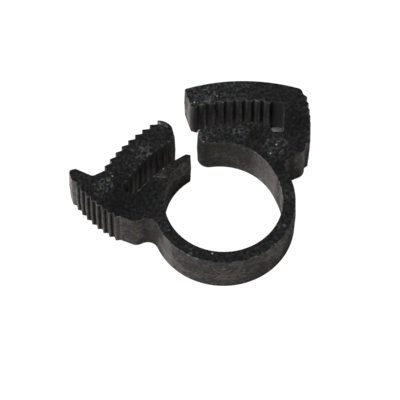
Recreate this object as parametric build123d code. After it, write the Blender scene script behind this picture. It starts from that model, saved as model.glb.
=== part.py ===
from build123d import *
import os
from math import acos, atan2, cos, degrees, radians, sin, sqrt

# One-piece snap clamp for soft tubing, as moulded: open. All lengths are in mm.
# The tube's axis is +Z and the bore's centre is the origin. The clamp lies on z = 0, and
# its mouth opens towards +Y, between the male jaw at -X and the female jaw at +X.

# Strap, and how far inside the bore's wall lies the line about which it bends
bore_r = 6.6
wall = 1.42
band_width = 5.4
flex_inset = 1.0

# Ratchet: rows of saw teeth, in step by an angle about the bending line, whose steep sides hold it shut
tooth_step_angle = 3.333
tooth_count = 9
outer_depth = 0.46
inner_depth = 0.3
steep_share = 0.25
tooth_clearance = 0.05

# Male jaw: lip that carries on the bore, groove for the prong, tongue, nose that stops the hood
lip_tip_thick = 0.57
lip_nib_thick = 0.25
lip_nib_angle = 98.0
lip_inner_angle = 100.0
lip_peak_angle = 96.4
lip_swell = 0.6
lip_swell_share = 0.25
groove_end_angle = 130.6
groove_corner_r = 0.75
prong_space = 2.82
tongue_thick = 3.23
tongue_face = 1.37
tongue_toe_angle = 96.1
tongue_brow_angle = 94.7
tongue_bow_share = 0.13
tongue_tip_angle = 97.9
tongue_inner_angle = 126.4
nose_angle = 129.9
nose_outer_angle = 131.4
nose_floor_rise = 0.98
nose_over = 0.22
nose_slant = 0.6
nose_tip_r = 0.36
nose_foot_r = 0.5

# Female jaw: prong that rides over the lip, slot for the tongue with a pocket at its end, hood
prong_lift = 0.9
prong_end_x = 0.76
prong_toe_r = 1.3
prong_brow_drop = 0.54
prong_brow_r = 0.4
prong_angle = 54.2
prong_tip_angle = 85.4
slot_end_angle = 51.2
slot_wall_angle = 64.5
slot_depth = 3.79
slot_corner_r = 0.3
pocket_width = 1.25
hood_thick = 2.41
hood_mouth_angle = 84.8
hood_tooth_angle = 85.35
hood_outer_angle = 84.6
hood_tip_round_r = 0.2
hood_corner_angle = 47.1
hood_corner_r = 0.6

# Ribbed grips for pliers on both jaws, and the shoulder under each
grip_count = 8
grip_depth = 0.36
grip_bow_r = 15.5
grip_low_out = 4.25
grip_low_angle = 13.7
grip_high_out = 8.5
grip_high_angle = 30.3
male_shoulder_y = 1.36
male_shoulder_out = 2.05
female_shoulder_y = 1.9
female_shoulder_out = 2.85
shoulder_root_r = 1.2
shoulder_corner_r = 1.0

# Round sunk marks in the top face, and the stub left by the gate on the strap
mark_depth = 0.1
female_mark_r = 1.35
female_mark_out = 1.01
female_mark_angle = 25.3
male_mark_r = 1.25
male_mark_out = 5.65
male_mark_angle = 149.3
gate_r = 0.5
gate_height = 0.12
gate_angle = -51.4
overrun = 1.0

# Outside of the strap, about the bore's centre
strap_r = bore_r + wall

# Radii about the strap's bending line
flex_y = flex_inset - bore_r
lip_r = bore_r + lip_tip_thick - flex_y
tongue_inner_tip_r = bore_r + prong_space - flex_y
tongue_inner_root_r = tongue_inner_tip_r + inner_depth
prong_root_r = tongue_inner_tip_r - tooth_clearance
prong_tip_r = prong_root_r + inner_depth
tongue_tip_r = tongue_inner_tip_r + tongue_thick
tongue_root_r = tongue_tip_r - outer_depth
hood_root_r = tongue_tip_r + tooth_clearance
hood_tip_r = hood_root_r - outer_depth
hood_outer_r = hood_root_r + hood_thick
nose_top_r = hood_outer_r + nose_over


def about_bore(radius, angle):
    """Point at a radius and an angle, in degrees, about the bore's centre."""
    return Vector(radius * cos(radians(angle)), radius * sin(radians(angle)))


def about_flex(radius, angle):
    """Point at a radius and an angle, in degrees, about the strap's bending line."""
    return about_bore(radius, angle) + Vector(0, flex_y)


def saw_teeth(root_r, tip_r, start, turn, steep_first):
    """Corners of a row of saw teeth about the bending line: root and tip in turn, a root at each end.

    The row starts at an angle and runs clockwise for a turn of -1, anticlockwise for +1.
    """
    rise_share = steep_share if steep_first else 1 - steep_share
    corners = [about_flex(root_r, start)]
    for tooth in range(tooth_count):
        angle = start + turn * tooth * tooth_step_angle
        corners.append(about_flex(tip_r, angle + turn * rise_share * tooth_step_angle))
        corners.append(about_flex(root_r, angle + turn * tooth_step_angle))
    return corners


def grip_corners():
    """Corners of the +X grip from the lowest valley up to the land over the top ridge.

    The tips lie on an outward bow of grip_bow_r, and the valleys grip_depth inside it.
    """
    low = about_bore(strap_r + grip_low_out, grip_low_angle)
    high = about_bore(strap_r + grip_high_out, grip_high_angle)
    chord = high - low
    inward = Vector(-chord.Y, chord.X).normalized()
    centre = (low + high) / 2 + inward * sqrt(grip_bow_r**2 - (chord.length / 2) ** 2)
    low_angle = degrees(atan2(low.Y - centre.Y, low.X - centre.X))
    high_angle = degrees(atan2(high.Y - centre.Y, high.X - centre.X))
    step = (high_angle - low_angle) / (grip_count - 1)
    corners = []
    for ridge in range(grip_count + 1):
        angle = low_angle + ridge * step
        corners.append(centre + about_bore(grip_bow_r - grip_depth, angle - step / 2))
        corners.append(centre + about_bore(grip_bow_r, angle))
    return corners


def on_strap(side, height):
    """Point at a height on the strap's outer circle, on the side -1 or +1."""
    return Vector(side * sqrt(strap_r**2 - height**2), height)


def mirrored(corners):
    """The same corners on the other side of the mouth's plane, in the other order."""
    return [Vector(-corner.X, corner.Y) for corner in reversed(corners)]


# Corners of the plan, anticlockwise from the strap's right side
right_grip = grip_corners()
left_grip = mirrored(right_grip)
right_root = on_strap(1, female_shoulder_y)
right_shoulder = Vector(strap_r + female_shoulder_out, female_shoulder_y)
hood_corner = about_flex(hood_outer_r, hood_corner_angle)
hood_mid = about_flex(hood_outer_r, (hood_corner_angle + hood_outer_angle) / 2)
hood_tip = about_flex(hood_outer_r, hood_outer_angle)
hood_mouth = about_flex(hood_root_r, hood_mouth_angle)
hood_teeth = saw_teeth(hood_root_r, hood_tip_r, hood_tooth_angle, -1, False)[1:]

slot_far = about_flex(hood_root_r, slot_end_angle)
slot_near = slot_far - about_bore(slot_depth, slot_wall_angle)
pocket_near = slot_near + about_bore(pocket_width, slot_wall_angle + 90)
prong_teeth = saw_teeth(prong_root_r, prong_tip_r, prong_angle, 1, True)
prong_tip = about_flex(prong_root_r, prong_tip_angle)
prong_brow = Vector(prong_end_x, prong_tip.Y - prong_brow_drop)
prong_toe = Vector(prong_end_x, prong_lift + sqrt(bore_r**2 - prong_end_x**2))
prong_toe_angle = degrees(acos(prong_end_x / bore_r))
prong_mid = about_bore(bore_r, prong_toe_angle / 2) + Vector(0, prong_lift)
prong_foot = Vector(bore_r, prong_lift)
bore_start = Vector(bore_r, 0)

lip_inner = about_bore(bore_r, lip_inner_angle)
lip_nib = about_bore(bore_r + lip_nib_thick, lip_nib_angle)
lip_peak = about_flex(lip_r, lip_peak_angle)
lip_mid_angle = (lip_peak_angle + groove_end_angle) / 2
lip_mid = about_flex(lip_r + lip_swell * lip_swell_share, lip_mid_angle)
groove_low = about_flex(lip_r + lip_swell, groove_end_angle)
groove_high = about_flex(tongue_inner_root_r, groove_end_angle)
tongue_inner_teeth = saw_teeth(tongue_inner_root_r, tongue_inner_tip_r, tongue_inner_angle, -1, True)
tongue_toe = about_flex(tongue_inner_root_r, tongue_toe_angle)
tongue_brow = about_flex(tongue_inner_root_r + tongue_face, tongue_brow_angle)
tongue_start = tongue_tip_angle + (tooth_count - 1 + steep_share) * tooth_step_angle
tongue_outer_teeth = saw_teeth(tongue_root_r, tongue_tip_r, tongue_start, -1, True)[-2::-1]
tongue_tip = tongue_outer_teeth[0]
tongue_bevel = tongue_tip - tongue_brow
tongue_bow = (tongue_tip + tongue_brow) / 2 + Vector(tongue_bevel.Y, -tongue_bevel.X) * tongue_bow_share

nose_foot = about_flex(tongue_root_r + nose_floor_rise, nose_angle)
nose_inner = about_flex(nose_top_r, nose_angle)
nose_outer = about_flex(nose_top_r + nose_slant, nose_outer_angle)
left_shoulder = Vector(-strap_r - male_shoulder_out, male_shoulder_y)
left_root = on_strap(-1, male_shoulder_y)

# The plan's outline, from the strap's right side round both jaws and the bore
slot_wall = [slot_far, slot_near, pocket_near]
outline = [
    Polyline(right_root, right_shoulder, *right_grip[:-1], hood_corner),
    ThreePointArc(hood_corner, hood_mid, hood_tip),
    Polyline(hood_tip, hood_mouth, *hood_teeth, *slot_wall, *prong_teeth, prong_tip, prong_brow, prong_toe),
    ThreePointArc(prong_toe, prong_mid, prong_foot),
    Line(prong_foot, bore_start),
    ThreePointArc(bore_start, about_bore(bore_r, lip_inner_angle / 2 - 180), lip_inner),
    Polyline(lip_inner, lip_nib, lip_peak),
    ThreePointArc(lip_peak, lip_mid, groove_low),
    Polyline(groove_low, groove_high, *tongue_inner_teeth, tongue_toe, tongue_brow),
    ThreePointArc(tongue_brow, tongue_bow, tongue_tip),
    Polyline(*tongue_outer_teeth, nose_foot, nose_inner, nose_outer, *left_grip, left_shoulder, left_root),
    ThreePointArc(left_root, Vector(0, -strap_r), right_root),
]
plan = make_face([edge for stretch in outline for edge in stretch.edges()])

# Corners that the mould rounds
rounds = [
    (right_root, shoulder_root_r),
    (left_root, shoulder_root_r),
    (right_shoulder, shoulder_corner_r),
    (left_shoulder, shoulder_corner_r),
    (hood_corner, hood_corner_r),
    (hood_tip, hood_tip_round_r),
    (slot_far, slot_corner_r),
    (slot_near, slot_corner_r),
    (pocket_near, slot_corner_r),
    (prong_brow, prong_brow_r),
    (prong_toe, prong_toe_r),
    (groove_low, groove_corner_r),
    (groove_high, groove_corner_r),
    (nose_foot, nose_foot_r),
    (nose_inner, nose_tip_r),
    (nose_outer, nose_tip_r),
]
clamp_body = extrude(plan, band_width)
for corner, radius in rounds:
    upright = clamp_body.edges().filter_by(Axis.Z).sort_by_distance(corner)[0]
    clamp_body = fillet(upright, radius)


def sunk_mark(centre, radius):
    """Shallow round recess in the top face."""
    floor_z = band_width - mark_depth
    return Pos(centre.X, centre.Y, floor_z) * extrude(Circle(radius), mark_depth + overrun)


clamp_body -= sunk_mark(about_bore(strap_r + female_mark_out, female_mark_angle), female_mark_r)
clamp_body -= sunk_mark(about_bore(strap_r + male_mark_out, male_mark_angle), male_mark_r)

gate_seat = about_bore(bore_r + wall / 2, gate_angle)
clamp_body += Pos(gate_seat.X, gate_seat.Y, 0) * extrude(Circle(gate_r), band_width + gate_height)

os.makedirs("parts", exist_ok=True)
export_step(clamp_body, "parts/clamp_body.step")
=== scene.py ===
import math

import bpy
import numpy as np
from mathutils import Matrix, Vector
from mathutils.geometry import tessellate_polygon


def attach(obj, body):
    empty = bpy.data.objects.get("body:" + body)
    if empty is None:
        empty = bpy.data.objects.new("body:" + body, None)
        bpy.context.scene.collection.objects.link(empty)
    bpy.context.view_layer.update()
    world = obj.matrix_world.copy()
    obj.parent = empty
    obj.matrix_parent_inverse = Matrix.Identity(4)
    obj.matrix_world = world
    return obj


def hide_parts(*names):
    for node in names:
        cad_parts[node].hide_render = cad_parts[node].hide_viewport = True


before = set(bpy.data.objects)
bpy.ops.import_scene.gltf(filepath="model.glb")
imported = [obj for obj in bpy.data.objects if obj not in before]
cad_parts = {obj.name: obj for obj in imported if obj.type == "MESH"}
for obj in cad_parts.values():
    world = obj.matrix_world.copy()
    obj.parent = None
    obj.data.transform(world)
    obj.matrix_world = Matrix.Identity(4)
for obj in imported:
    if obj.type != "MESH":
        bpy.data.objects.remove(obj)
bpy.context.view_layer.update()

MM = 0.001

# The moulding's finish: sizes in millimetres, and the steps and shares that go with them.
BAND = 5.4
RIM_ROUND = 0.07
CORNER_EASE = 0.11
CORNER_STEPS = 5
SHARP_TURN = math.radians(24)
LONGEST_SIDE = 0.15
INSET_SHARE = 0.8
DRAFT = 0.07
PARTING_RIDGE = 0.012
PARTING_HALF = 0.07
WALL_HEIGHTS = (0.025, 0.1, 0.25, 0.42)
EDGE_SHARES = (0, 0.7, 1, 1, 1)

# The sunk round marks and the gate's stub, each at x and y with a radius.
MARKS = ((8.16, 3.86, 1.35), (-11.75, 6.98, 1.25))
MARK_DEPTH = 0.1
MARK_EASE = 0.1
MARK_SIDES = 48
GATE = (4.56, -5.71, 0.5)
GATE_HEIGHT = 0.12
GATE_SIDES = 28

# The grips' place, the length over which their ridges even out, how far their painted shade is set off, and the
# number of points on the evened loop.
GRIP_FROM, GRIP_MID, GRIP_HALF = 11.2, 5.6, 3.0
RIDGE_REACH = 0.9
PAINTED_SHADE_LEAN = 0.2
EVEN_POINTS = 8192

# The tooth rows, by their distance from the line about which the strap bends.
BENDING_LINE = (0.0, -5.6)
TEETH_FROM, TEETH_TO, TEETH_FADE = 14.7, 18.5, 0.1
BETWEEN_ROWS = (15.3, 15.5)
INNER_TIPS, INNER_ROOTS = (15.05, 15.12), (15.06, 15.25)
OUTER_TIPS, OUTER_ROOTS = (17.88, 18.0), (17.95, 18.2)
POCKET = (10.8, 8.9, 1.3)
GROOVE_END, GROOVE_DEEP = (-8.6, 6.6, 2.4), (-6.2, 8.1, 2.6)

# Places of wear on the flat faces, each at x and y with a reach. TIP_BAND is no wear but a painted highlight at the
# tongue's tip.
RUBBED = ((3.4, 13.8, 8.5),)
DARKER = ((-9.5, 5.0, 4.5), (-8.0, 6.0, 1.3), (-11.2, 4.2, 1.2), (11.4, 5.9, 2.2), (6.7, 6.2, 1.0), (7.5, 1.3, 1.2))
SCUFFED = ((3.6, 11.9, 1.1), (1.6, 8.55, 1.2), (5.3, 7.2, 1.2), (-5.8, 9.6, 1.5), (-5.1, 8.5, 0.8),
           (-5.2, 5.9, 1.2), (-11.1, 7.3, 1.2), (6.8, -2.4, 0.9), (-5.6, -4.3, 1.0))
NICKS = ((-3.96, -5.73, 0.12), (7.28, 3.32, 0.12), (8.39, 4.11, 0.11), (-10.05, 7.85, 0.12), (-10.96, 7.13, 0.1),
         (2.28, 12.96, 0.1), (4.98, 12.62, 0.1), (1.03, 7.72, 0.1), (-4.49, 6.35, 0.09))
TIP_BAND = ((-2.45, 12.0, 0.3), (-2.5, 12.05, 0.2), (-2.15, 11.8, 0.26), (-1.95, 11.55, 0.24), (-1.85, 11.25, 0.2))

# Places of wear on the walls. The polished places are partly painted highlight on walls that face the light, and NOSE
# is a painted highlight on the nose's walls.
POLISHED_AND_HIGHLIT = ((-14.2, 9.3, 1.9), (1.3, 13.1, 1.2), (6.3, 2.2, 2.8), (10.5, 1.7, 1.3), (-7.7, -2.1, 1.0))
DULLED = ((-8.5, 0.8, 1.5), (0.9, 8.1, 1.3), (2.1, 12.2, 0.8))
NOSE = (-14.3, 10.0, 1.4)

# The studio: the floor's half width and drop, the soft boxes' size and aim, and the camera.
FLOOR_FAR, FLOOR_DROP = 2000.0, 0.02
SOFTBOX_SIZE, SOFTBOX_AIM = 180, (0, 3, 2)
CAMERA_PLACE, CAMERA_WAY = (-68.556, -145.707, 284.170), (0.2055, 0.4558, -0.8660)


def welded(node):
    """The node's corners in millimetres with equal ones merged, and its triangles on them."""
    mesh = node.data
    co = np.empty(len(mesh.vertices) * 3, np.float32)
    mesh.vertices.foreach_get("co", co)
    corner = np.empty(len(mesh.loops), np.int32)
    mesh.loops.foreach_get("vertex_index", corner)
    spots, at = np.unique(np.round(co.reshape(-1, 3) / MM, 4), axis=0, return_inverse=True)
    return spots, at.ravel()[corner].reshape(-1, 3)


def plan_outline(spots, triangles):
    """The closed plan of the underside, anticlockwise from above. A side of one triangle whose reverse belongs
    to no other is on the rim, and the ring is put in order by doubling: the first 2k places are the first k and
    the same k carried on by k steps."""
    low = triangles[(spots[triangles][:, :, 2] < 1e-3).all(1)]
    tail, head = low.ravel(), np.roll(low, -1, axis=1).ravel()
    many = len(spots)
    rim = ~np.isin(tail * many + head, head * many + tail)
    step = np.zeros(many, int)
    step[head[rim]] = tail[rim]
    ring = tail[rim][:1]
    while len(ring) < rim.sum():
        ring = np.concatenate([ring, step[ring]])
        step = step[step]
    return spots[ring[: rim.sum()], :2]


def unit(v):
    """Each row divided by its own length."""
    return v / np.maximum(np.linalg.norm(v, axis=-1, keepdims=True), 1e-12)


def eased(loop, reach, steps, sharp):
    """The loop with each corner that turns by more than `sharp` replaced by a parabola, (1-t)^2 a + 2t(1-t) c +
    t^2 b, from a to b on its two sides at `reach` from the corner c or at two fifths of the shorter side. Also
    gives the outward normal at each point: a quarter turn from the parabola's own tangent, or at a point of a
    smooth run from its two sides' directions weighted by their lengths."""
    back, on = np.roll(loop, 1, axis=0) - loop, np.roll(loop, -1, axis=0) - loop
    far_back, far_on = np.linalg.norm(back, axis=1), np.linalg.norm(on, axis=1)
    turn = np.arccos(np.clip(-(unit(back) * unit(on)).sum(1), -1, 1))
    keen = turn > sharp
    cut = np.where(keen, np.minimum(reach, 0.4 * np.minimum(far_back, far_on)), 0)[:, None]
    start, end = loop + unit(back) * cut, loop + unit(on) * cut
    count = np.where(keen, steps, 1)
    which = np.repeat(np.arange(len(loop)), count)
    place = np.arange(len(which)) - np.repeat(np.cumsum(count) - count, count)
    t = np.where(keen[which], place / (steps - 1), 0.5)[:, None]
    points = (1 - t) ** 2 * start[which] + 2 * t * (1 - t) * loop[which] + t**2 * end[which]
    bend = (1 - t) * (loop - start)[which] + t * (end - loop)[which]
    run = (on - back)[which]
    along = unit(np.where(keen[which][:, None], bend, run))
    return points, np.stack([along[:, 1], -along[:, 0]], axis=1)


def filled(loop, outward, gap):
    """The loop and its normals with points set evenly along each side, so that none are further apart than `gap`."""
    ahead, ahead_out = np.roll(loop, -1, axis=0), np.roll(outward, -1, axis=0)
    count = np.ceil(np.linalg.norm(ahead - loop, axis=1) / gap).astype(int).clip(1)
    which = np.repeat(np.arange(len(loop)), count)
    t = ((np.arange(len(which)) - np.repeat(np.cumsum(count) - count, count)) / count[which])[:, None]
    return (1 - t) * loop[which] + t * ahead[which], unit((1 - t) * outward[which] + t * ahead_out[which])


def sunk_in(loop):
    """How far the loop lies inside its own running mean over RIDGE_REACH, read PAINTED_SHADE_LEAN ahead of each point:
    above 0 on the side of each ridge that leads into a valley, below 0 on the other side and the tip."""
    ring = np.concatenate([loop, loop[:1]])
    along = np.concatenate([[0], np.cumsum(np.linalg.norm(np.diff(ring, axis=0), axis=1))])
    even = np.linspace(0, along[-1], EVEN_POINTS, endpoint=False)
    path = np.stack([np.interp(even, along, ring[:, 0]), np.interp(even, along, ring[:, 1])], axis=1)
    half = int(RIDGE_REACH / along[-1] * EVEN_POINTS / 2)
    total = np.cumsum(np.concatenate([path[-half:], path, path[:half]]), axis=0)
    mean = (total[2 * half :] - total[: -2 * half]) / (2 * half)
    way = unit(np.roll(mean, -1, axis=0) - np.roll(mean, 1, axis=0))
    inside = (mean - path) * np.stack([way[:, 1], -way[:, 0]], axis=1)
    return np.interp(along[:-1] + PAINTED_SHADE_LEAN, even, inside.sum(1), period=along[-1])


def wall_profile():
    """The wall's outward offset, height, slope and edge share from the underside to the top: a quarter round, a
    straight draft that is proudest at half height, a low parting ridge there, and a quarter round. The edge share
    is 0 at the flat faces, 1 on most of each round and 0 on the wall between."""
    turn = np.linspace(0, math.pi / 2, len(EDGE_SHARES))
    low_out, low_z = RIM_ROUND * (np.sin(turn) - 1), RIM_ROUND * (1 - np.cos(turn))
    half = BAND / 2
    mid_z = np.array(WALL_HEIGHTS) * BAND
    near = np.array([half - PARTING_HALF, half, half + PARTING_HALF])
    z = np.concatenate([low_z, mid_z, near, BAND - mid_z[::-1], BAND - low_z[::-1]])
    out = np.concatenate([low_out, 0 * mid_z, 0 * near, 0 * mid_z, low_out[::-1]])
    out = out + DRAFT * (1 - np.abs(z - half) / half)
    out = out + PARTING_RIDGE * np.clip(1 - np.abs(z - half) / PARTING_HALF, 0, 1)
    tilt = np.concatenate([turn - math.pi / 2, 0 * mid_z, 0 * near, 0 * mid_z, math.pi / 2 - turn[::-1]])
    lean = np.where(z < half, -1.0, 1.0) * DRAFT / half
    lean[np.abs(z - half) < PARTING_HALF / 2] = 0
    lean[[0, -1]] = 0
    edge = np.concatenate([EDGE_SHARES, 0 * mid_z, 0 * near, 0 * mid_z, EDGE_SHARES[::-1]])
    return out, z, tilt + lean, edge


def swept_wall(loop, outward):
    """The wall as a grid: point (i, j) is the loop's point i moved by the profile's offset j along its outward
    normal and lifted to the profile's height j. Its normal leans from the outward one by the profile's slope. An
    inward offset is cut down where the loop turns so tightly that its points would cross. Also gives each point's
    edge share and, on the grips, how far it is sunk, with -1 elsewhere."""
    out, z, tilt, edge = wall_profile()
    ahead, ahead_out = np.roll(loop, -1, axis=0), np.roll(outward, -1, axis=0)
    turn = np.linalg.norm(ahead_out - outward, axis=1).clip(1e-9)
    room = (INSET_SHARE * np.linalg.norm(ahead - loop, axis=1) / turn / RIM_ROUND).clip(0, 1)
    room = np.minimum(room, np.roll(room, 1))[:, None]
    shift = np.where(out < 0, out * room, out)[:, :, None]
    flat = loop[:, None, :] + outward[:, None, :] * shift
    spots = np.concatenate([flat, np.broadcast_to(z[None, :, None], flat.shape[:2] + (1,))], axis=2)
    side = outward[:, None, :] * np.cos(tilt)[None, :, None]
    lift = np.broadcast_to(np.sin(tilt)[None, :, None], flat.shape[:2] + (1,))
    grip = (np.abs(loop[:, 0]) > GRIP_FROM) & (np.abs(loop[:, 1] - GRIP_MID) < GRIP_HALF)
    plain = (edge == 0) & (np.abs(tilt) < 1)
    sunk = np.where(grip[:, None] & plain[None, :], sunk_in(loop)[:, None], -1)
    return spots, np.concatenate([side, lift], axis=2), np.broadcast_to(edge, flat.shape[:2]), sunk


def turned(centre, radius, height, tilt, steps):
    """A surface of revolution on an upright axis: a ring of `steps` points for each radius and height of its
    profile, whose normals lean from straight up by `tilt`, away from the axis where that is positive."""
    a = np.linspace(0, 2 * math.pi, steps, endpoint=False)[:, None]
    ray = np.stack([np.cos(a), np.sin(a)], axis=2)
    flat = np.asarray(centre)[None, None, :] + ray * radius[None, :, None]
    spots = np.concatenate([flat, np.broadcast_to(height[None, :, None], flat.shape[:2] + (1,))], axis=2)
    side = ray * np.sin(tilt)[None, :, None]
    lift = np.broadcast_to(np.cos(tilt)[None, :, None], flat.shape[:2] + (1,))
    return spots, np.concatenate([side, lift], axis=2)


def grid_faces(first, rows, columns):
    """The quads of a grid that is closed round its rows, numbered from `first`."""
    i, j = np.meshgrid(np.arange(rows), np.arange(columns - 1), indexing="ij")
    a, b = i * columns + j, (i + 1) % rows * columns + j
    return np.stack([a, b, b + 1, a + 1], axis=2).reshape(-1, 4) + first


def flat_faces(spots, rings, up):
    """Triangles that fill the first ring and leave the others open, all facing up or all facing down."""
    number = np.concatenate(rings)
    faces = number[np.array(tessellate_polygon([spots[ring].tolist() for ring in rings]), int)]
    p = spots[faces][:, :, :2]
    u, v = p[:, 1] - p[:, 0], p[:, 2] - p[:, 0]
    area = (u[:, 0] * v[:, 1] - u[:, 1] * v[:, 0]).sum()
    return faces if (area > 0) == up else faces[:, ::-1]


def mark_profile(r):
    """The radius, height and lean of a sunk mark, from the top face down a smooth step, 3t^2 - 2t^3, to its floor."""
    ease = np.linspace(0, 1, 5)
    radius = np.concatenate([r + MARK_EASE * (1 - ease), r * np.array([0.86, 0.6, 0.3, 0.06])])
    drop = np.concatenate([ease**2 * (3 - 2 * ease), np.ones(4)])
    return radius, BAND - MARK_DEPTH * drop, np.concatenate([-np.sin(math.pi * ease), np.zeros(4)])


def gate_profile(r):
    """The radius, height and lean of the gate's stub: a side that rises as a quarter sine, and a dished top."""
    arc = np.linspace(0, 1, 6)
    radius = r * np.concatenate([1.08 - 0.2 * arc, [0.6, 0.3, 0.05]])
    rise = np.concatenate([np.sin(arc * math.pi / 2), [0.94, 0.8, 0.86]])
    return radius, BAND + GATE_HEIGHT * rise, np.concatenate([1.1 * np.sin(math.pi * arc), [-0.1, -0.1, 0]])


def clamp_moulding():
    """The whole clamp as one closed skin: the plan's wall, the flat underside, the flat top with a sunk round
    mark on each jaw, and the stub of the gate on the strap."""
    plan = plan_outline(*welded(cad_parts["clamp_body"]))
    loop, outward = filled(*eased(plan, CORNER_EASE, CORNER_STEPS, SHARP_TURN), LONGEST_SIDE)
    wall, wall_normals, edge, sunk = swept_wall(loop, outward)
    rows, columns = wall.shape[:2]
    spots, normals = [wall.reshape(-1, 3)], [wall_normals.reshape(-1, 3)]
    quads = [grid_faces(0, rows, columns)]
    low = np.arange(rows) * columns
    top, middles, used = [low + columns - 1], [], rows * columns
    rounds = [((x, y), mark_profile(r), MARK_SIDES) for x, y, r in MARKS]
    rounds.append((GATE[:2], gate_profile(GATE[2]), GATE_SIDES))
    for centre, profile, sides in rounds:
        made, lean = turned(centre, *profile, sides)
        columns = made.shape[1]
        spots.append(made.reshape(-1, 3))
        normals.append(lean.reshape(-1, 3))
        quads.append(grid_faces(used, sides, columns))
        rim = used + np.arange(sides) * columns
        top.append(rim)
        middles.append(rim + columns - 1)
        used += sides * columns
    spots, normals = np.concatenate(spots), np.concatenate(normals)
    rest = np.zeros(len(spots) - edge.size)
    shares = {"edge": np.concatenate([edge.ravel(), rest]), "sunk": np.concatenate([sunk.ravel(), rest])}
    faces = [flat_faces(spots, top, True), flat_faces(spots, [low], False)]
    faces += [flat_faces(spots, [ring], True) for ring in middles]
    return spots, normals, np.concatenate(quads), np.concatenate(faces), shares


def put_mesh(name, spots, normals, quads, triangles, shares):
    """A mesh object at the origin with the given corners in millimetres, faces, corner normals and named values."""
    mesh = bpy.data.meshes.new(name)
    mesh.from_pydata(spots * MM, [], quads.tolist() + triangles.tolist())
    mesh.polygons.foreach_set("use_smooth", np.ones(len(mesh.polygons), bool))
    mesh.normals_split_custom_set_from_vertices(unit(normals).tolist())
    for key, value in shares.items():
        mesh.attributes.new(key, "FLOAT", "POINT").data.foreach_set("value", value.astype(np.float32))
    made = bpy.data.objects.new(name, mesh)
    bpy.context.scene.collection.objects.link(made)
    return made


class Wire:
    """A socket in a node tree, with sums and products that add Math nodes."""

    def __init__(self, tree, out=None):
        self.tree, self.out = tree, out

    def add(self, kind, settings=None, sockets=None, give=0):
        """Adds a node of a kind: its settings first, then the value or link of each socket; gives one output."""
        node = self.tree.nodes.new(kind)
        for key, value in (settings or {}).items():
            setattr(node, key, value)
        for key, value in (sockets or {}).items():
            if isinstance(value, Wire):
                self.tree.links.new(value.out, node.inputs[key])
            else:
                node.inputs[key].default_value = value
        return Wire(self.tree, node.outputs[give] if len(node.outputs) else None)

    def sums(self, operation, a, b=0.0):
        """A Math node on one or two values."""
        return self.add("ShaderNodeMath", {"operation": operation}, {0: a, 1: b})

    def __add__(self, other):
        return self.sums("ADD", self, other)

    def __sub__(self, other):
        return self.sums("SUBTRACT", self, other)

    def __rsub__(self, other):
        return self.sums("SUBTRACT", other, self)

    def __mul__(self, other):
        return self.sums("MULTIPLY", self, other)

    __radd__, __rmul__ = __add__, __mul__

    def between(self, low, high):
        """0 below the low value, 1 above the high one, smooth between."""
        ease = {"interpolation_type": "SMOOTHSTEP"}
        return self.add("ShaderNodeMapRange", ease, {0: self, 1: low, 2: high})


def new_material(name):
    """An empty node material, and a bare wire in its tree."""
    made = bpy.data.materials.new(name)
    made.use_nodes = True
    made.node_tree.nodes.clear()
    return made, Wire(made.node_tree)


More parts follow.
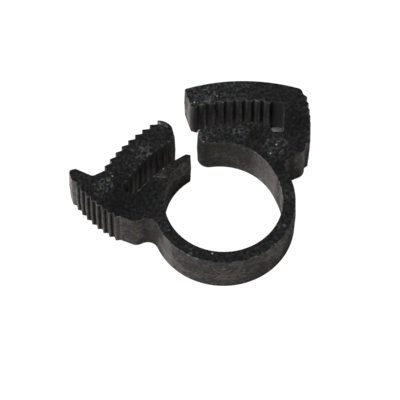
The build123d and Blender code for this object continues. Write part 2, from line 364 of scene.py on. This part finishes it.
def black_nylon():
    """Worn black nylon, mixed from two finishes. One is satin, with a coarse eroded grain that is lighter on its
    peaks, faint draw lines up the walls, warm and cool patches, pale dust, nicks and curled scores, rounded edges
    that are paler, partly scuffed and partly painted highlight, and painted highlights on the tooth tips, the nose
    and a band at the tongue's tip. The other is a dry film: pale patches on the walls, painted light that lifts the
    shade in the tooth roots, on the pocket's far wall and deep in the groove, and painted shade on one side of each
    grip ridge. The film is thin where a wall is polished and thick where it is dulled; the polished places are partly
    painted highlight, on walls that face the light and on the lit side of each ridge of the left grip."""
    made, w = new_material("black_nylon_satin")
    at = w.add("ShaderNodeTexCoord", give=3)
    mm = w.add("ShaderNodeVectorMath", {"operation": "SCALE"}, {0: at, 3: 1 / MM})
    flat = w.add("ShaderNodeVectorMath", {"operation": "MULTIPLY"}, {0: mm, 1: (1.0, 1.0, 0.0)})
    tall = w.add("ShaderNodeVectorMath", {"operation": "MULTIPLY"}, {0: mm, 1: (1.0, 1.0, 0.2)})

    def noise(scale, detail=2.0, vector=mm, give=0):
        """Cloudy noise with about `scale` clouds to the millimetre."""
        return w.add("ShaderNodeTexNoise", {}, {"Vector": vector, "Scale": scale, "Detail": detail}, give=give)

    def part(vector, number):
        """The x, y or z of a vector."""
        return w.add("ShaderNodeSeparateXYZ", {}, {0: vector}, give=number)

    def away(x, y):
        """The distance from a point, in plan."""
        return w.add("ShaderNodeVectorMath", {"operation": "DISTANCE"}, {0: flat, 1: (x, y, 0.0)}, give=1)

    def spots(places, low, high):
        """1 about each place and 0 far from all, smooth between the low and the high share of a place's reach."""
        return sum(1 - away(x, y).between(low * r, high * r) for x, y, r in places)

    def tinted(light, much):
        """A grey made warmer or cooler by the hue noise."""
        tint = w.add("ShaderNodeVectorMath", {"operation": "MULTIPLY_ADD"}, {0: hue, 1: 2 * much, 2: 1 - much})
        grey = w.add("ShaderNodeCombineColor", {}, {0: light, 1: light, 2: light})
        return w.add("ShaderNodeVectorMath", {"operation": "MULTIPLY"}, {0: grey, 1: tint})

    # Patterns all over the clamp.
    grain, pits, mottle, drawn = noise(4.2, 3.0), noise(2.0), noise(0.45, 3.0), noise(2.6, vector=tall)
    hue, film = noise(1.5, give=1), noise(2.6)
    peaks = grain.between(0.4, 0.68)
    curls = w.sums("PINGPONG", noise(1.4, 0.0), 0.16).between(0.07, 0.13)
    dust = 1 - w.add("ShaderNodeTexVoronoi", {}, {"Vector": mm, "Scale": 1.3}).between(0.05, 0.14)

    # Walls and flat faces, grips and tooth rows.
    edge, sunk = [w.add("ShaderNodeAttribute", {"attribute_name": name}, give=2) for name in ("edge", "sunk")]
    wall = 1 - w.sums("ABSOLUTE", part(w.add("ShaderNodeNewGeometry", give=1), 2)).between(0.3, 0.8)
    face = 1 - wall
    right, low = part(mm, 0).between(-0.5, 0.5), 1 - part(mm, 2).between(1.0, 5.0)
    grips, valley = sunk.between(-0.9, -0.5), sunk.between(-0.02, 0.13)
    reach = away(*BENDING_LINE)
    inner = 1 - reach.between(*BETWEEN_ROWS)
    ring = reach.between(TEETH_FROM - TEETH_FADE, TEETH_FROM) * (1 - reach.between(TEETH_TO, TEETH_TO + TEETH_FADE))
    toothed = wall * ring * (1 - grips) * (inner + (1 - inner) * right)
    tips = (1 - inner) * (1 - reach.between(*OUTER_TIPS)) + (1 - reach.between(*INNER_TIPS))
    pocket = spots([POCKET], 0.8, 1.0)
    roots = reach.between(*OUTER_ROOTS) * (1 - pocket) + inner * reach.between(*INNER_ROOTS)

    # Places of wear.
    scuff = face * spots(MARKS + (GATE,), 0.95, 1.15)
    rubbed, scored = face * spots(RUBBED, 0.2, 1.0), face * spots(SCUFFED, 0.5, 1.0)
    clean = math.prod(1 - 0.6 * face * spots([place], 0.4, 1.0) for place in DARKER)
    # The polished places are partly painted highlight: walls that face the light, and the lit side of each ridge on
    # the left grip.
    polish_and_highlight = wall * (spots(POLISHED_AND_HIGHLIT, 0.5, 1.0) + 0.8 * grips * (1 - valley) * (1 - right))
    dull = wall * spots(DULLED, 0.5, 1.0)

    # The satin finish, with painted highlights on edges, tips, the nose and polished walls.
    light = (0.001 + 0.015 * peaks + 0.004 * mottle) * (0.8 + 0.5 * wall * drawn + 1.7 * rubbed) * clean
    light = light + (0.05 * scuff + 0.04 * rubbed + 0.04 * wall) * grain.between(0.55, 0.68)
    light = light + 0.045 * (0.4 * scuff + scored) * curls
    light = light + 0.055 * wall * (1 - toothed) * pits.between(0.58, 0.68)
    # Painted highlight, partly: the rounded edges are paler, partly as scuffs and partly as highlight; the dust is
    # pale everywhere.
    light = light + 0.1 * edge * pits.between(0.42, 0.6) + 0.09 * dust * mottle.between(0.48, 0.6)
    # The nicks are pale marks; TIP_BAND is a painted highlight.
    light = light + face * (0.45 * spots(NICKS, 0.4, 1.1) + 0.08 * spots(TIP_BAND, 0.3, 1.1))
    # Painted highlights on the tooth tips and on the nose's walls.
    light = light + 0.03 * toothed * tips + 0.05 * wall * spots([NOSE], 0.5, 1.0)
    # Painted highlight, partly: the polished walls are paler.
    light = light + 0.045 * polish_and_highlight * film.between(0.47, 0.6)
    rough = 0.47 - 0.08 * wall - 0.06 * polish_and_highlight + 0.1 * scuff
    rough = rough + 0.2 * (mottle - 0.5) + 0.5 * (grain - 0.5) + 0.3 * wall * (drawn - 0.5)
    relief = 0.8 * grain + 0.8 * pits + 0.5 * wall * drawn
    bump = w.add("ShaderNodeBump", {}, {"Strength": 0.7, "Distance": 0.07 * MM, "Height": relief})
    satin = w.add("ShaderNodeBsdfPrincipled", {}, {
        "Base Color": tinted(light, 0.65 - 0.25 * wall), "Roughness": rough, "IOR": 1.5,
        "Specular IOR Level": 0.4, "Normal": bump})

    # The dry film, with painted light where shade falls among the teeth and in the groove, and painted shade on the
    # grip ridges.
    # Painted light: the film is paler in the tooth roots, on the pocket's far wall and low in the groove, to lift the
    # shade that falls there.
    painted_groove_light = (0.05 + 0.35 * low) * spots([GROOVE_END], 0.5, 1.0) + 0.2 * low * spots([GROOVE_DEEP], 0.4, 1.0)
    chalk = 0.004 + 0.035 * wall * (1 - valley) * (1 - toothed)
    chalk = chalk + (0.02 + 0.08 * roots + 0.02 * pocket + (0.02 + painted_groove_light) * inner) * toothed
    dry = w.add("ShaderNodeBsdfPrincipled", {}, {
        "Base Color": tinted(chalk, 0.9 - 0.6 * toothed), "Roughness": 0.8,
        "Specular IOR Level": 0.05, "Normal": bump})

    # The share of satin.
    veil = (film + 0.8 * wall * (mottle - 0.46)).between(0.4, 0.6)
    # Painted shade: on one side of each grip ridge the satin gives way to a near-black film. The tooth tips keep more
    # satin, as part of their painted highlight.
    bare = (1 - (0.62 + 0.12 * wall) * veil * (1 - 0.85 * polish_and_highlight)) * (1 - 0.95 * wall * valley)
    bare = bare * (1 - 0.9 * toothed * (1 - 0.4 * tips)) * (0.4 + 0.6 * clean) * (1 - 0.5 * dull)
    shader = w.add("ShaderNodeMixShader", {}, {0: bare, 1: dry, 2: satin})
    w.add("ShaderNodeOutputMaterial", {}, {0: shader})
    return made


def white_paper():
    """The floor: warm white paper that takes the clamp's shade. Seen directly it is burnt out to plain white, as in
    an overexposed studio picture, and only in the clamp's narrow gaps, where ambient occlusion paints shade into it,
    does it stay grey."""
    made, w = new_material("white_paper")
    # Painted shade: the white the camera sees is darkened by ambient occlusion in the clamp's narrow gaps.
    gap = w.add("ShaderNodeAmbientOcclusion", {"samples": 16}, {"Distance": 8 * MM}, give=1)
    shade = gap.between(0.15, 0.32)
    white = w.add("ShaderNodeCombineColor", {}, {0: shade, 1: shade, 2: shade})
    burnt = w.add("ShaderNodeEmission", {}, {"Color": white, "Strength": 1.05})
    paper = w.add("ShaderNodeBsdfDiffuse", {}, {"Color": (0.89, 0.81, 0.76, 1.0)})
    seen = w.add("ShaderNodeLightPath")
    shader = w.add("ShaderNodeMixShader", {}, {0: seen, 1: paper, 2: burnt})
    w.add("ShaderNodeOutputMaterial", {}, {0: shader})
    return made


def floor():
    """A flat square sheet just under the clamp."""
    far, z = FLOOR_FAR, -FLOOR_DROP
    spots = np.array([[-far, -far, z], [far, -far, z], [far, far, z], [-far, far, z]])
    up = np.tile([0.0, 0.0, 1.0], (4, 1))
    sheet = put_mesh("paper_floor", spots, up, np.array([[0, 1, 2, 3]]), np.zeros((0, 3), int), {})
    sheet.data.materials.append(white_paper())


def aimed(place, way):
    """The matrix of a lamp or camera at a place in millimetres that looks along a direction."""
    turn = Vector(way).to_track_quat("-Z", "Y").to_matrix().to_4x4()
    return Matrix.Translation(Vector(place) * MM) @ turn


def soft_light(name, place, watts):
    """A square soft box at a place in millimetres, turned to face the clamp."""
    lamp = bpy.data.lights.new(name, "AREA")
    lamp.shape, lamp.size, lamp.energy = "SQUARE", SOFTBOX_SIZE * MM, watts
    made = bpy.data.objects.new(name, lamp)
    made.matrix_world = aimed(place, Vector(SOFTBOX_AIM) - Vector(place))
    bpy.context.scene.collection.objects.link(made)


def studio():
    """Dim even surroundings, a soft box high on the left, a weaker one low on the far left, a faint one right."""
    world = bpy.data.worlds.new("dim_room")
    world.use_nodes = True
    world.node_tree.nodes["Background"].inputs[0].default_value = (0.195, 0.2, 0.205, 1.0)
    bpy.context.scene.world = world
    bpy.context.scene.view_settings.view_transform = "Standard"
    soft_light("left_softbox", (-226, 0, 330), 1.2)
    soft_light("far_softbox", (-250, 250, 188), 0.6)
    soft_light("right_softbox", (250, 150, 260), 0.09)


def camera():
    """A long lens at the photograph's angle, 60 degrees up and 24 degrees to the left of the front."""
    lens = bpy.data.cameras.new("camera")
    lens.sensor_width, lens.lens = 36.0, 261.0
    lens.clip_start, lens.clip_end = 0.02, 20.0
    made = bpy.data.objects.new("camera", lens)
    made.matrix_world = aimed(CAMERA_PLACE, CAMERA_WAY)
    bpy.context.scene.collection.objects.link(made)
    bpy.context.scene.camera = made


camera()
clamp = put_mesh("clamp_moulding", *clamp_moulding())
clamp.data.materials.append(black_nylon())
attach(clamp, "root")
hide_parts("clamp_body")
floor()
studio()
